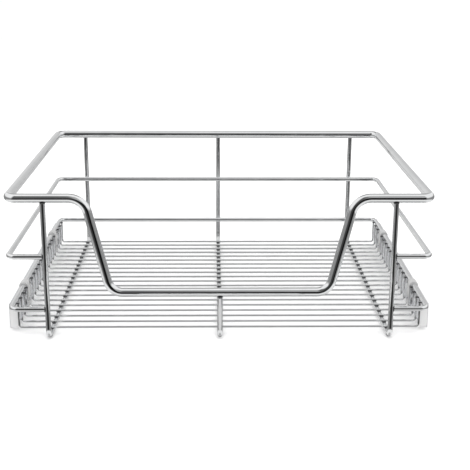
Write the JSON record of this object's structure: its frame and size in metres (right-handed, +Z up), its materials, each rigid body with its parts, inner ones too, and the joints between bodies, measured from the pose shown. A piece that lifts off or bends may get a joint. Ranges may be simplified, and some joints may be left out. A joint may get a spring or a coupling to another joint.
{
  "type": "pull-out cabinet basket",
  "caption": "Open chrome wire basket with a hand grip dipped into its front rim, on full-extension ball slides that screw to the side walls of a cabinet.",
  "frame": {"origin": "middle of the footprint, at the underside of the skid wires", "axes": "+X to the right seen from the front, +Y from the front to the back of the cabinet, +Z up"},
  "size_m": [0.564, 0.452, 0.198],
  "materials": {
    "chrome_wire": "bright plated",
    "zinc_plated_sheet": "zinc plated",
    "cage_strip": "plain rolled",
    "ball_steel": "polished",
    "black_rubber": "matt",
    "clip_plastic": "fine grained",
    "screw_steel": "zinc plated"
  },
  "bodies": {
    "cabinet_sides": {"left_cabinet_member": "zinc_plated_sheet", "left_rear_bumper": "black_rubber", "right_cabinet_member": "zinc_plated_sheet", "right_rear_bumper": "black_rubber"},
    "basket": {"rim": "chrome_wire", "mid_rail": "chrome_wire", "lower_rail": "chrome_wire", "left_skid_wire": "chrome_wire", "centre_skid_wire": "chrome_wire", "right_skid_wire": "chrome_wire", "floor_wire_01": "chrome_wire", "floor_wire_02": "chrome_wire", "floor_wire_03": "chrome_wire", "floor_wire_04": "chrome_wire", "floor_wire_05": "chrome_wire", "floor_wire_06": "chrome_wire", "floor_wire_07": "chrome_wire", "floor_wire_08": "chrome_wire", "floor_wire_09": "chrome_wire", "floor_wire_10": "chrome_wire", "floor_wire_11": "chrome_wire", "floor_wire_12": "chrome_wire", "floor_wire_13": "chrome_wire", "floor_wire_14": "chrome_wire", "floor_wire_15": "chrome_wire", "floor_wire_16": "chrome_wire", "floor_wire_17": "chrome_wire", "floor_wire_18": "chrome_wire", "floor_wire_19": "chrome_wire", "floor_wire_20": "chrome_wire", "left_drawer_member": "zinc_plated_sheet", "left_front_cap": "clip_plastic", "left_front_clip": "clip_plastic", "left_rear_clip": "clip_plastic", "left_clip_screws": "screw_steel", "right_drawer_member": "zinc_plated_sheet", "right_front_cap": "clip_plastic", "right_front_clip": "clip_plastic", "right_rear_clip": "clip_plastic", "right_clip_screws": "screw_steel"},
    "left_middle": {"left_middle_member": "zinc_plated_sheet"},
    "left_outer_ball_cage": {"left_outer_cage": "cage_strip", "left_outer_balls": "ball_steel"},
    "left_inner_ball_cage": {"left_inner_cage": "cage_strip", "left_inner_balls": "ball_steel"},
    "right_middle": {"right_middle_member": "zinc_plated_sheet"},
    "right_outer_ball_cage": {"right_outer_cage": "cage_strip", "right_outer_balls": "ball_steel"},
    "right_inner_ball_cage": {"right_inner_cage": "cage_strip", "right_inner_balls": "ball_steel"}
  },
  "joints": [
    {"name": "basket_slide", "type": "slide", "parent": "cabinet_sides", "child": "basket", "axis": [0, -1, 0], "range_m": [0, 0.4]},
    {"name": "left_middle_slide", "type": "slide", "parent": "cabinet_sides", "child": "left_middle", "axis": [0, -1, 0], "range_m": [0, 0.2]},
    {"name": "left_outer_ball_cage_slide", "type": "slide", "parent": "cabinet_sides", "child": "left_outer_ball_cage", "axis": [0, -1, 0], "range_m": [0, 0.1]},
    {"name": "left_inner_ball_cage_slide", "type": "slide", "parent": "cabinet_sides", "child": "left_inner_ball_cage", "axis": [0, -1, 0], "range_m": [0, 0.3]},
    {"name": "right_middle_slide", "type": "slide", "parent": "cabinet_sides", "child": "right_middle", "axis": [0, -1, 0], "range_m": [0, 0.2]},
    {"name": "right_outer_ball_cage_slide", "type": "slide", "parent": "cabinet_sides", "child": "right_outer_ball_cage", "axis": [0, -1, 0], "range_m": [0, 0.1]},
    {"name": "right_inner_ball_cage_slide", "type": "slide", "parent": "cabinet_sides", "child": "right_inner_ball_cage", "axis": [0, -1, 0], "range_m": [0, 0.3]}
  ],
  "couplings": [
    {"joint": "left_middle_slide", "follows": "basket_slide", "ratio": 0.5},
    {"joint": "left_outer_ball_cage_slide", "follows": "basket_slide", "ratio": 0.25},
    {"joint": "left_inner_ball_cage_slide", "follows": "basket_slide", "ratio": 0.75},
    {"joint": "right_middle_slide", "follows": "basket_slide", "ratio": 0.5},
    {"joint": "right_outer_ball_cage_slide", "follows": "basket_slide", "ratio": 0.25},
    {"joint": "right_inner_ball_cage_slide", "follows": "basket_slide", "ratio": 0.75}
  ]
}
